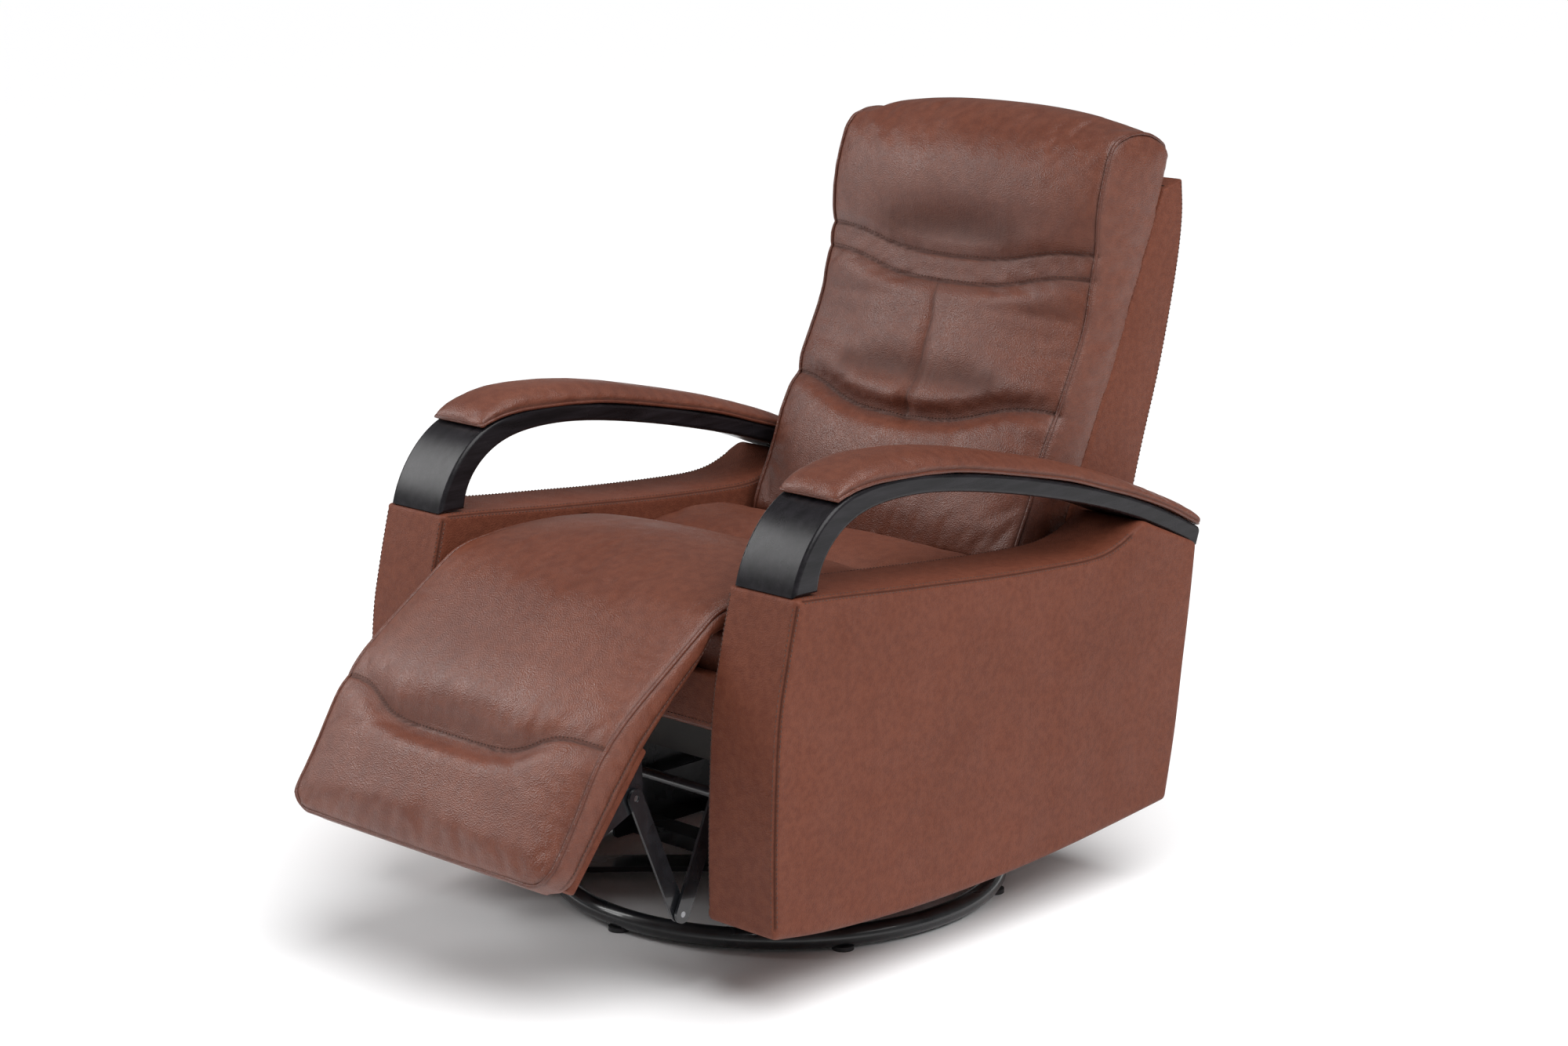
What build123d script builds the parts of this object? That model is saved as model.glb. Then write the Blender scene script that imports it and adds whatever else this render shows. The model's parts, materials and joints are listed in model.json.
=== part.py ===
"""Leather swivel glider recliner, in millimetres.

The chair faces -Y, +Z is up, and the origin is on the floor under the middle of the chair.
It stands as it is made here: leg rest half open, back reclined. Names ending in left are on
the sitter's left, which is +X.
"""

import os
from math import cos, radians, sin

from build123d import *

# ---------------------------------------------------------------- driving dimensions
overall_width = 780.0
arm_thickness = 120.0
arm_outer = overall_width / 2
arm_inner = arm_outer - arm_thickness
arm_middle = (arm_inner + arm_outer) / 2

swivel_y = 57.0
ring_radius = 309.0
ring_tube = 14.0
glide_height = 6.0
running_gap = 0.05

link_length = 120.0
link_top = 225.0
link_low = link_top - link_length
link_spread = 130.0
plate = 4.0

stand_x = 200.0
legrest_bracket_x = 211.0
glide_link_x = 212.0
coupler_x = 218.0
legrest_arm_x = 225.0
mechanism_x = 233.0
rail_x = mechanism_x + plate
frame_half = 262.0
seat_frame_low = 275.0
seat_frame_top = 330.0

cushion_width = 522.0
cushion_front = -300.0
cushion_back = 226.0
cushion_top = 475.0

knee = (-343.0, 470.0)
knee_radius = 50.0
leg_drop = 51.0
pad_width = 498.0
board_width = 480.0
board_start = 151.0
board_end = 357.0
board_thick = 18.0
coupler_pin = (205.0, 55.0)
arm_pivot = (-270.0, 300.0)

bolt_places = [(-200.0, 300.0), (120.0, 300.0)]
recline = (247.0, 400.0)
back_tilt = 24.7
back_width = 517.0
wood_width = 103.0

os.makedirs("parts", exist_ok=True)


def save(piece, name):
    """Label a finished piece and write it as its own file."""
    piece.part.label = name
    export_step(piece.part, f"parts/{name}.step")


def save_pair(piece, name):
    """Write the left piece and its mirror image, the right one."""
    save(piece, f"{name}_left")
    with BuildPart() as other:
        mirror(piece.part, about=Plane.YZ)
    save(other, f"{name}_right")


def side_plane(x):
    """A plane across the chair at x: first axis +Y, second axis +Z."""
    return Plane.YZ.offset(x)


def leg_plane(x):
    """A plane at x from the knee: first axis down the leg rest, second axis behind it."""
    drop = radians(leg_drop)
    return Plane(origin=(x, *knee), x_dir=(0, -cos(drop), -sin(drop)), z_dir=(1, 0, 0))


def back_plane(x):
    """A plane at x from the recline pin: first axis up the back, second axis forwards."""
    tilt = radians(back_tilt)
    return Plane(origin=(x, *recline), x_dir=(0, sin(tilt), cos(tilt)), z_dir=(1, 0, 0))


def leg_point(along, behind):
    """Y and Z of a point of the leg rest."""
    spot = leg_plane(0).from_local_coords((along, behind, 0))
    return (spot.Y, spot.Z)


def pins(centres, x, length, radius):
    """Round pins along X from x, one at each (y, z)."""
    with BuildPart() as group:
        with BuildSketch(side_plane(x)):
            with Locations(*centres):
                Circle(radius)
        extrude(amount=length)
    return group


def link(start, end, x, width, start_hole, end_hole):
    """A flat bar with round ends and a hole in each, between two (y, z) points."""
    middle = ((start[0] + end[0]) / 2, (start[1] + end[1]) / 2)
    with BuildPart() as bar:
        with BuildSketch(side_plane(x)):
            SlotCenterPoint(middle, end, width)
            with Locations(start):
                Circle(start_hole, mode=Mode.SUBTRACT)
            with Locations(end):
                Circle(end_hole, mode=Mode.SUBTRACT)
        extrude(amount=plate)
    return bar


def both_sides(piece):
    """One part that holds a piece and its mirror image, as separate solids."""
    with BuildPart() as pair:
        add(piece.part)
        mirror(piece.part, about=Plane.YZ)
    return pair


# ---------------------------------------------------------------- floor ring and swivel
ring_height = 4.0 + ring_tube
with BuildPart() as base_ring:
    with Locations((0, swivel_y, ring_height)):
        Torus(ring_radius, ring_tube)
save(base_ring, "base_ring")

strap_height = 8.0
strap_low = ring_height - strap_height / 2
with BuildPart() as cross_straps:
    for turn in (45, -45):
        with Locations((0, swivel_y, ring_height)):
            Box(2 * ring_radius, 50, strap_height, rotation=(0, 0, turn))
    add(base_ring.part, mode=Mode.SUBTRACT)
save(cross_straps, "cross_straps")

with BuildPart() as floor_glides:
    with Locations((0, swivel_y, 0)):
        with PolarLocations(ring_radius, 6, start_angle=30):
            Cylinder(15, glide_height, align=(Align.CENTER, Align.CENTER, Align.MIN))
    add(base_ring.part, mode=Mode.SUBTRACT)
save(floor_glides, "floor_glides")

lower_plate_low = strap_low + strap_height
lower_plate_top = lower_plate_low + 6
with BuildPart() as swivel_plate_lower:
    with Locations((0, swivel_y, lower_plate_low)):
        Cylinder(95, 6, align=(Align.CENTER, Align.CENTER, Align.MIN))
save(swivel_plate_lower, "swivel_plate_lower")

washer_top = lower_plate_top + 3
with BuildPart() as swivel_washer:
    with Locations((0, swivel_y, lower_plate_top)):
        Cylinder(75, 3, align=(Align.CENTER, Align.CENTER, Align.MIN))
        Cylinder(13, 3, align=(Align.CENTER, Align.CENTER, Align.MIN), mode=Mode.SUBTRACT)
save(swivel_washer, "swivel_washer")

upper_plate_low = washer_top + running_gap
upper_plate_top = upper_plate_low + 6
with BuildPart() as king_pin:
    with Locations((0, swivel_y, lower_plate_top)):
        Cylinder(12, 12, align=(Align.CENTER, Align.CENTER, Align.MIN))
    with Locations((0, swivel_y, upper_plate_top + running_gap)):
        Cylinder(20, 7, align=(Align.CENTER, Align.CENTER, Align.MIN))
save(king_pin, "king_pin")

# ---------------------------------------------------------------- turntable
with BuildPart() as swivel_plate_upper:
    with Locations((0, swivel_y, upper_plate_low)):
        Cylinder(95, 6, align=(Align.CENTER, Align.CENTER, Align.MIN))
        Cylinder(12 + running_gap, 6, align=(Align.CENTER, Align.CENTER, Align.MIN), mode=Mode.SUBTRACT)
save(swivel_plate_upper, "swivel_plate_upper")

beam_height = 20.0
with BuildPart() as turntable_beams:
    with Locations((0, swivel_y - 70, upper_plate_top), (0, swivel_y + 70, upper_plate_top)):
        Box(2 * stand_x, 40, beam_height, align=(Align.CENTER, Align.CENTER, Align.MIN))
save(turntable_beams, "turntable_beams")

front_y = swivel_y - link_spread
rear_y = swivel_y + link_spread
stand_low = upper_plate_top
with BuildPart() as glide_stand:
    with BuildSketch(side_plane(stand_x)):
        with BuildLine():
            Polyline(
                (front_y + 4, stand_low),
                (rear_y - 4, stand_low),
                (rear_y + 17, link_top + 14),
                (rear_y - 17, link_top + 14),
                (rear_y - 46, 115),
                (front_y + 46, 115),
                (front_y + 17, link_top + 14),
                (front_y - 17, link_top + 14),
                close=True,
            )
        make_face()
        fillet(vertices(), 8)
    extrude(amount=plate)
save_pair(glide_stand, "glide_stand")

stand_pin_length = glide_link_x + plate + 3 - (stand_x + plate)
stand_pins_one_side = pins(
    [(front_y, link_top), (rear_y, link_top)], stand_x + plate, stand_pin_length, 6
)
save(both_sides(stand_pins_one_side), "glide_stand_pins")

# ---------------------------------------------------------------- hanging glide links
open_pivot = 6.4
for name, y in (("glide_links_front", front_y), ("glide_links_rear", rear_y)):
    glide_link = link(
        (y, link_top), (y, link_low), glide_link_x, 26, 6 + running_gap, open_pivot
    )
    save(both_sides(glide_link), name)

# ---------------------------------------------------------------- mechanism plates
with BuildPart() as mechanism_plate:
    with BuildSketch(side_plane(mechanism_x)):
        with BuildLine():
            Polyline(
                (-292, 328),
                (-292, 282),
                (-170, 215),
                (front_y - 22, link_low - 20),
                (rear_y + 22, link_low - 20),
                (232, 215),
                (232, 328),
                close=True,
            )
        make_face()
        fillet(vertices(), 10)
        with Locations(*bolt_places, arm_pivot):
            Circle(4, mode=Mode.SUBTRACT)
    extrude(amount=plate)
save_pair(mechanism_plate, "mechanism_plate")

chassis_pin_length = mechanism_x - (glide_link_x - 3)
chassis_pins_one_side = pins(
    [(front_y, link_low), (rear_y, link_low)], glide_link_x - 3, chassis_pin_length, 4
)
save(both_sides(chassis_pins_one_side), "glide_chassis_pins")

cross_tube = (-150.0, 245.0)
save(pins([cross_tube], -mechanism_x, 2 * mechanism_x, 10), "mechanism_cross_tube")

# ---------------------------------------------------------------- seat frame
with BuildPart() as arm_bolts_one_side:
    with BuildSketch(side_plane(rail_x)):
        with Locations(*bolt_places):
            Circle(4)
    extrude(amount=arm_middle + 9 - rail_x)
    with BuildSketch(side_plane(mechanism_x)):
        with Locations(*bolt_places):
            RegularPolygon(7, 6)
    extrude(amount=-5)
    with BuildSketch(side_plane(mechanism_x)):
        with Locations(*bolt_places):
            Circle(4)
    extrude(amount=plate)
arm_bolts = both_sides(arm_bolts_one_side)
save(arm_bolts, "arm_bolts")

rail_mid = (seat_frame_low + seat_frame_top) / 2
rail_height = seat_frame_top - seat_frame_low
with BuildPart() as seat_frame:
    with Locations((0, -7.5, rail_mid)):
        Box(2 * frame_half, 485, rail_height)
        Box(2 * rail_x, 435, rail_height, mode=Mode.SUBTRACT)
    add(both_sides(mechanism_plate).part, mode=Mode.SUBTRACT)
    add(arm_bolts.part, mode=Mode.SUBTRACT)
save(seat_frame, "seat_frame")

with BuildPart() as seat_webbing:
    with Locations((0, 0, seat_frame_top + 1.25)):
        with GridLocations(78, 1, 6, 1):
            Box(50, 470, 2.5)
save(seat_webbing, "seat_webbing")

with BuildPart() as dust_cover:
    with Locations((0, -7.5, seat_frame_low - 1)):
        Box(2 * rail_x - 10, 435 + 20, 2)
save(dust_cover, "dust_cover")

# ---------------------------------------------------------------- wooden arms and their pads
with BuildPart() as wood_arm:
    with BuildSketch(side_plane(arm_middle - wood_width / 2)):
        with BuildLine():
            Spline(
                (-313, 540), (-287, 595), (-234, 642), (-161, 659), (-17, 650), (184, 609),
                (401, 541), (517, 487),
            )
            Line((517, 487), (508, 463))
            Spline(
                (508, 463), (440, 496), (327, 542), (220, 574), (16, 620), (-136, 633),
                (-205, 619), (-247, 589), (-268, 540),
            )
            Line((-268, 540), (-313, 540))
        make_face()
    extrude(amount=wood_width)
    fillet(wood_arm.edges().filter_by(Axis.X).group_by(Axis.Y)[-1], 8)
    fillet(wood_arm.faces().filter_by(Axis.X).edges(), 5)
save_pair(wood_arm, "wood_arm")

with BuildPart() as arm_pad_block:
    with BuildSketch(side_plane(arm_middle - wood_width / 2 + 1)):
        with BuildLine():
            Spline((-240, 640), (-212, 677), (-140, 686), (27, 668), (230, 620), (374, 572), (522, 507))
            Line((522, 507), (510, 480))
            Spline((510, 480), (401, 530), (184, 598), (-17, 640), (-161, 648), (-240, 640))
        make_face()
    extrude(amount=wood_width - 2)
with BuildPart() as arm_pad:
    add(arm_pad_block.part)
    add(wood_arm.part, mode=Mode.SUBTRACT)
save_pair(arm_pad, "arm_pad")

panel_thick = 18.0
with BuildPart() as arm_panel:
    with BuildSketch(side_plane(arm_middle - panel_thick / 2)):
        with BuildLine():
            Polyline(
                (-320, 150), (420, 150), (445, 300), (460, 440), (300, 460), (-50, 485),
                (-300, 500), close=True,
            )
        make_face()
        fillet(vertices(), 15)
    extrude(amount=panel_thick)
    add(arm_bolts.part, mode=Mode.SUBTRACT)
save_pair(arm_panel, "arm_panel")

# ---------------------------------------------------------------- release lever, sitter's right
cup_y = (-130.0, -50.0)
cup_z = (452.0, 500.0)
cup_wall = 3.0
cup_depth = 20.0
cup_length = cup_y[1] - cup_y[0]
cup_height = cup_z[1] - cup_z[0]
cup_centre = (-(arm_inner + cup_depth / 2), sum(cup_y) / 2, sum(cup_z) / 2)
with BuildPart() as cup_block:
    with Locations(cup_centre):
        Box(cup_depth, cup_length, cup_height)

lever_pivot = (cup_y[1] - 12, cup_z[0] + 14)
lever_pin = 3.0
with BuildPart() as release_bezel:
    add(cup_block.part)
    with Locations((cup_centre[0] + cup_wall, cup_centre[1], cup_centre[2])):
        Box(cup_depth, cup_length - 2 * cup_wall, cup_height - 2 * cup_wall, mode=Mode.SUBTRACT)
    with BuildSketch(side_plane(cup_wall - arm_inner - cup_depth)):
        with Locations(lever_pivot):
            Circle(lever_pin)
    extrude(amount=12)
save(release_bezel, "release_bezel")

lever_thick = 6.0
with BuildPart() as release_lever:
    with BuildSketch(side_plane(-(arm_inner + 15))):
        SlotCenterPoint((lever_pivot[0] - 25, lever_pivot[1]), lever_pivot, 13)
        with Locations(lever_pivot):
            Circle(lever_pin + running_gap, mode=Mode.SUBTRACT)
    extrude(amount=lever_thick)
save(release_lever, "release_lever")

cable_x = arm_inner + cup_depth / 2
cable_y = cup_y[0] + 25
with BuildPart() as release_cable:
    with BuildLine():
        FilletPolyline(
            (-cable_x, cable_y, cup_z[0]), (-cable_x, cable_y, 240), (-rail_x - 2, cable_y, 200),
            radius=35,
        )
    with BuildSketch(Plane(origin=(-cable_x, cable_y, cup_z[0]), z_dir=(0, 0, -1))):
        Circle(3)
    sweep()
save(release_cable, "release_cable")

# ---------------------------------------------------------------- leather arm bodies
with BuildPart() as arm_block:
    with BuildSketch(side_plane(arm_inner)):
        with BuildLine():
            Spline((-314, 540), (-349, 380), (-356, 110))
            ThreePointArc((-356, 110), (60, 83), (441, 108))
            Spline((441, 108), (474, 296), (497, 471))
            Line((497, 471), (375, 521))
            Spline(
                (375, 521), (324, 499), (273, 489), (173, 495), (-49, 514), (-198, 528), (-314, 540)
            )
        make_face()
    extrude(amount=arm_thickness)
    fillet(arm_block.faces().filter_by(Axis.X).edges(), 8)
with BuildPart() as arm_cover_left:
    add(arm_block.part)
    for inside in (wood_arm, arm_pad, arm_panel, arm_bolts):
        add(inside.part, mode=Mode.SUBTRACT)
save(arm_cover_left, "arm_cover_left")
with BuildPart() as arm_cover_right:
    mirror(arm_cover_left.part, about=Plane.YZ)
    add(cup_block.part, mode=Mode.SUBTRACT)
    add(release_cable.part, mode=Mode.SUBTRACT)
save(arm_cover_right, "arm_cover_right")

# ---------------------------------------------------------------- seat
with BuildPart() as seat_cushion:
    with BuildSketch(side_plane(-cushion_width / 2)):
        with BuildLine():
            Polyline(
                (cushion_front, seat_frame_top + 3),
                (cushion_back, seat_frame_top + 3),
                (cushion_back, cushion_top - 5),
                (25, cushion_top),
                (cushion_front, cushion_top),
                close=True,
            )
        make_face()
    extrude(amount=cushion_width)
    fillet(seat_cushion.edges().filter_by(Axis.Z), 20)
save(seat_cushion, "seat_cushion")

knee_y, knee_z = knee
pad_rear = 25.0
with BuildPart() as chaise_pad_seat:
    with BuildSketch(side_plane(-pad_width / 2)):
        with BuildLine():
            Spline((knee_y, knee_z + knee_radius), (-200, 529), (-90, 520), (pad_rear, 484))
            Polyline(
                (pad_rear, 484),
                (pad_rear, cushion_top),
                (cushion_front, cushion_top),
                (cushion_front, knee_z - knee_radius),
                (knee_y, knee_z - knee_radius),
            )
            ThreePointArc(
                (knee_y, knee_z - knee_radius),
                (knee_y - knee_radius, knee_z),
                (knee_y, knee_z + knee_radius),
            )
        make_face()
    extrude(amount=pad_width)
save(chaise_pad_seat, "chaise_pad_seat")

with BuildPart() as seat_front_panel:
    with Locations((0, cushion_front - 9, knee_z - knee_radius - 38)):
        Box(pad_width, 18, 74)
    fillet(seat_front_panel.edges().filter_by(Axis.X), 5)
save(seat_front_panel, "seat_front_panel")

with BuildPart() as rear_panel:
    with BuildSketch(side_plane(2 - arm_inner)):
        with BuildLine():
            Polyline((426, 108), (440, 108), (452, 235), (438, 235), close=True)
        make_face()
    extrude(amount=2 * arm_inner - 4)
save(rear_panel, "rear_panel")

# ---------------------------------------------------------------- back
recline_pin_radius = 5.0
bracket_x = 250.0
recline_pins = both_sides(pins([recline], bracket_x - 1, frame_half + 1 - bracket_x, recline_pin_radius))
save(recline_pins, "recline_pins")

with BuildPart() as recline_plate:
    with BuildSketch(side_plane(frame_half)):
        with BuildLine():
            Polyline((160, 282), (232, 282), (262, 400), (256, 414), (238, 414), (160, 326), close=True)
        make_face()
        fillet(vertices(), 5)
    extrude(amount=plate)
save_pair(recline_plate, "recline_plate")

with BuildPart() as back_bracket:
    with BuildSketch(back_plane(bracket_x)):
        with BuildLine():
            Polyline(
                (-12, -8), (-8, 10), (10, 10), (70, -60), (160, -78), (160, -104), (40, -104), close=True
            )
        make_face()
        fillet(vertices(), 5)
        Circle(recline_pin_radius + running_gap, mode=Mode.SUBTRACT)
    extrude(amount=plate)
save_pair(back_bracket, "back_bracket")

post_front = -76.0
post_back = -108.0
post_middle = (post_front + post_back) / 2
back_rails = (40.0, 330.0, 600.0)
back_rail_height = 40.0
post_width = 35.0
with BuildPart() as back_frame:
    for height in back_rails:
        with BuildSketch(back_plane(0)):
            with Locations((height + back_rail_height / 2, post_middle)):
                Rectangle(back_rail_height, post_front - post_back)
        extrude(amount=bracket_x, both=True)
    with BuildSketch(back_plane(bracket_x - post_width), back_plane(-bracket_x)):
        with Locations(((back_rails[0] + back_rails[2] + back_rail_height) / 2, post_middle)):
            Rectangle(back_rails[2] + back_rail_height - back_rails[0], post_front - post_back)
    extrude(amount=post_width)
save(back_frame, "back_frame")

with BuildPart() as back_webbing:
    for height in (130, 240, 430, 540):
        with BuildSketch(back_plane(0)):
            with Locations((height, post_front + 1.25)):
                Rectangle(50, 2.5)
        extrude(amount=bracket_x - 5, both=True)
save(back_webbing, "back_webbing")

back_inside = (back_frame, back_webbing, both_sides(back_bracket))
with BuildPart() as back_cushion:
    with BuildSketch(side_plane(-back_width / 2)):
        with BuildLine():
            Spline(
                (262, 452), (303, 544), (355, 646), (412, 765), (432, 880), (443, 965),
                (502, 1030), (566, 1028), (592, 995),
            )
            Spline((592, 995), (567, 904), (522, 825), (404, 573), (345, 448))
            Line((345, 448), (262, 452))
        make_face()
    extrude(amount=back_width)
    for inside in back_inside:
        add(inside.part, mode=Mode.SUBTRACT)
save(back_cushion, "back_cushion")

with BuildPart() as back_shell:
    with BuildSketch(side_plane(-back_width / 2)):
        with BuildLine():
            Spline((350, 458), (404, 580), (522, 832), (572, 945))
            Line((572, 945), (619, 958))
            Spline((619, 958), (624, 900), (594, 747), (526, 530), (470, 345))
            Line((470, 345), (360, 345))
            Line((360, 345), (350, 458))
        make_face()
    extrude(amount=back_width)
    for neighbour in (*back_inside, back_cushion):
        add(neighbour.part, mode=Mode.SUBTRACT)
save(back_shell, "back_shell")

# ---------------------------------------------------------------- leg rest
with BuildPart() as legrest_board:
    with BuildSketch(leg_plane(-board_width / 2)):
        with Locations(((board_start + board_end) / 2, board_thick / 2)):
            Rectangle(board_end - board_start, board_thick)
        fillet(vertices(), 4)
    extrude(amount=board_width)
save(legrest_board, "legrest_board")

knee_clearance = 0.5
with BuildPart() as chaise_pad_leg:
    with BuildSketch(leg_plane(-pad_width / 2)):
        with BuildLine():
            Polyline((380, 0), (25, 0), (25, -54))
            Spline((25, -54), (106, -63), (190, -64), (320, -56), (374, -44), (388, -20), (380, 0))
        make_face()
        Circle(knee_radius + knee_clearance, mode=Mode.SUBTRACT)
    extrude(amount=pad_width)
save(chaise_pad_leg, "chaise_pad_leg")

with BuildPart() as legrest_bracket:
    with BuildSketch(leg_plane(legrest_bracket_x)):
        with BuildLine():
            Polyline(
                (150, board_thick), (300, board_thick), (300, 24), (220, 66), (190, 66), (150, 30),
                close=True,
            )
        make_face()
        fillet(vertices(), 3)
    extrude(amount=plate)
save_pair(legrest_bracket, "legrest_bracket")

# ---------------------------------------------------------------- leg rest links
coupler_end = leg_point(*coupler_pin)
elbow = (arm_pivot[0] + coupler_end[0] - knee_y, arm_pivot[1] + coupler_end[1] - knee_z)
pin_radius = 4.0
link_width = 24.0

arm_pins = pins([arm_pivot], legrest_arm_x - 2, mechanism_x + plate + 2 - legrest_arm_x, pin_radius)
save(both_sides(arm_pins), "legrest_pivot_pins")

legrest_arm = link(
    arm_pivot, elbow, legrest_arm_x, link_width, pin_radius + running_gap, pin_radius
)
save_pair(legrest_arm, "legrest_arm")

elbow_pins = pins([elbow], coupler_x - 2, legrest_arm_x + plate + 2 - coupler_x, pin_radius)
save(both_sides(elbow_pins), "legrest_elbow_pins")

tube_share = 0.25
tube_spot = (
    arm_pivot[0] + tube_share * (elbow[0] - arm_pivot[0]),
    arm_pivot[1] + tube_share * (elbow[1] - arm_pivot[1]),
)
save(pins([tube_spot], -legrest_arm_x, 2 * legrest_arm_x, 7), "legrest_cross_tube")

legrest_coupler = link(
    elbow, coupler_end, coupler_x, link_width, pin_radius + running_gap, pin_radius + 0.6
)
save(both_sides(legrest_coupler), "legrest_couplers")

pin_foot = legrest_bracket_x + plate
bracket_pins = pins([coupler_end], pin_foot, coupler_x + plate - 2 - pin_foot, pin_radius)
save(both_sides(bracket_pins), "legrest_bracket_pins")
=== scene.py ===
# %% [markdown]
# # A leather swivel recliner, dressed for a portrait
#
# The engineering model gives us every part in its right place: the steel, the wooden arms and a
# plain block for each soft part. This lesson keeps the hard parts, gives them paint, grain and
# polish, and rebuilds every soft part as upholstery: swollen leather over foam, with seams that
# pull it in, piping round its edges and rows of stitches.

# %% Load the engineering model as a fixed frame
import json
import math
import bpy
import numpy as np
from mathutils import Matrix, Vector
from mathutils.bvhtree import BVHTree

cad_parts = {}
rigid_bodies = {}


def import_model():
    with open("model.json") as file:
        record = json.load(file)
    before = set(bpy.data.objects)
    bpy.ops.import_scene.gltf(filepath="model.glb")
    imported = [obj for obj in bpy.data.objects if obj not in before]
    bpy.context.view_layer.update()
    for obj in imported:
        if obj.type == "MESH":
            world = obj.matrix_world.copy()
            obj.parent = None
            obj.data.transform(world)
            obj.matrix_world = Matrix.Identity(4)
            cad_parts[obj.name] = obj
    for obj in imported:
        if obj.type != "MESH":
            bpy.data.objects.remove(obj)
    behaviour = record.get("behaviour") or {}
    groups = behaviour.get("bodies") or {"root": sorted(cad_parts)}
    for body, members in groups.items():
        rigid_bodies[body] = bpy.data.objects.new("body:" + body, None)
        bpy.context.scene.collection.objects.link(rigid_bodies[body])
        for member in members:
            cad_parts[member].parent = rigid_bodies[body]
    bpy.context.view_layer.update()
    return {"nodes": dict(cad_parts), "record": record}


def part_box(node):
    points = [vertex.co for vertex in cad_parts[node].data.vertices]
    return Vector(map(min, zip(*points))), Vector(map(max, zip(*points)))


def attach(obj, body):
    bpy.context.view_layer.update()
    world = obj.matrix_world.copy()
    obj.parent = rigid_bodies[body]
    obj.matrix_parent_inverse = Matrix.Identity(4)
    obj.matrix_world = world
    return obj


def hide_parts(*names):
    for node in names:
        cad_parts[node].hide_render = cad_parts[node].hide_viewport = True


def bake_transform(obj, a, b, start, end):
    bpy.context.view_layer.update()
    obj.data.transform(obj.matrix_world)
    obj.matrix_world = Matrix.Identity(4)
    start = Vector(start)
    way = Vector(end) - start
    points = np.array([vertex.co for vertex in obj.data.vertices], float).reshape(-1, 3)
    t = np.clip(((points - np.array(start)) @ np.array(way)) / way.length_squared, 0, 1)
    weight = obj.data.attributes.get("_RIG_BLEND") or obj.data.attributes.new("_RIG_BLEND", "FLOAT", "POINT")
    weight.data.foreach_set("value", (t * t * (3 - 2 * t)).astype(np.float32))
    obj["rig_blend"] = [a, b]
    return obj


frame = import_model()
scene = bpy.context.scene
SIDES = ((1, "left"), (-1, "right"))

# %% [markdown]
# ## Where the camera stands
#
# A portrait lens of 77 mm from about four and a half metres keeps the chair's sides nearly
# parallel. The camera comes first, so that every later piece can be judged through it.

# %% Add the camera
bpy.ops.object.select_all(action="DESELECT")
camera_place = Vector((3.107, -3.189, 1.573))
camera_aim = Vector((-0.003, 0.073, 0.507))
bpy.ops.object.camera_add(location=camera_place)
camera = bpy.context.object
camera.name = "portrait_camera"
camera.data.lens = 76.9
camera.data.sensor_width = 36
camera.rotation_euler = (camera_aim - camera_place).to_track_quat("-Z", "Y").to_euler()
scene.camera = camera
print("camera at", tuple(round(v, 2) for v in camera_place))

# %% [markdown]
# ## Floor and light
#
# A furniture studio is white all round. The floor runs far behind the chair and is lit from
# above by one broad sun, so wide that its shadows have soft edges. A large soft light high on
# the left puts the shine on the knee and the rolls of the back, and a second one on the right
# models the side of the arm. Large lights give leather its broad, quiet gloss.

# %% Add the floor, the world and the lights
bpy.ops.mesh.primitive_plane_add(size=90, location=(0, 0, 0))
floor = bpy.context.object
floor.name = "studio_floor"
floor_finish = bpy.data.materials.new("studio_floor")
floor_finish.use_nodes = True
floor_shader = floor_finish.node_tree.nodes["Principled BSDF"]
floor_shader.inputs["Base Color"].default_value = (0.95, 0.95, 0.955, 1)
floor_shader.inputs["Roughness"].default_value = 0.9
floor_shader.inputs["Specular IOR Level"].default_value = 0.1
floor.data.materials.append(floor_finish)

world = bpy.data.worlds.new("white_studio")
scene.world = world
world.use_nodes = True
world.node_tree.nodes["Background"].inputs["Color"].default_value = (1, 1, 1, 1)
world.node_tree.nodes["Background"].inputs["Strength"].default_value = 0.20
scene.view_settings.view_transform = "Standard"


def aim_light(light, place, aim):
    """Point a light from its place at an aim."""
    light.rotation_euler = (Vector(aim) - Vector(place)).to_track_quat("-Z", "Y").to_euler()


def soft_light(name, place, aim, size, power):
    """A square studio light that looks at a point."""
    bpy.ops.object.light_add(type="AREA", location=place)
    light = bpy.context.object
    light.name = name
    light.data.size = size
    light.data.energy = power
    aim_light(light, place, aim)


seat_middle = (0, 0, 0.5)
sun_place = (1.5, -0.1, 2.9)
bpy.ops.object.light_add(type="SUN", location=sun_place)
sun = bpy.context.object
sun.name = "ceiling_sun"
sun.data.energy = 3.1
sun.data.angle = math.radians(55)
aim_light(sun, sun_place, (0, 0, 0))
soft_light("key_light", (-2.6, -1.75, 2.4), seat_middle, 1.9, 68)
soft_light("side_light", (3.2, 0.3, 2.5), (0.2, 0.4, 0.95), 1.4, 24)

# %% [markdown]
# ## Helpers for finishes
#
# Every finish here is grown from noise in the object's own coordinates, so that it has no seams
# and follows the part when it moves. A new finish starts as a Principled shader, and three small
# helpers add to it: a noise pattern, a colour ramp, and a bump.

# %% Helpers that build a finish
def new_finish(name, roughness, metallic=0.0, coat=0.0):
    """A material with a Principled shader and Object coordinates ready to use."""
    material = bpy.data.materials.new(name)
    material.use_nodes = True
    tree = material.node_tree
    shader = tree.nodes["Principled BSDF"]
    shader.inputs["Roughness"].default_value = roughness
    shader.inputs["Metallic"].default_value = metallic
    shader.inputs["Coat Weight"].default_value = coat
    place = tree.nodes.new("ShaderNodeTexCoord")
    return material, tree, shader, place.outputs["Object"]


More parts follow.
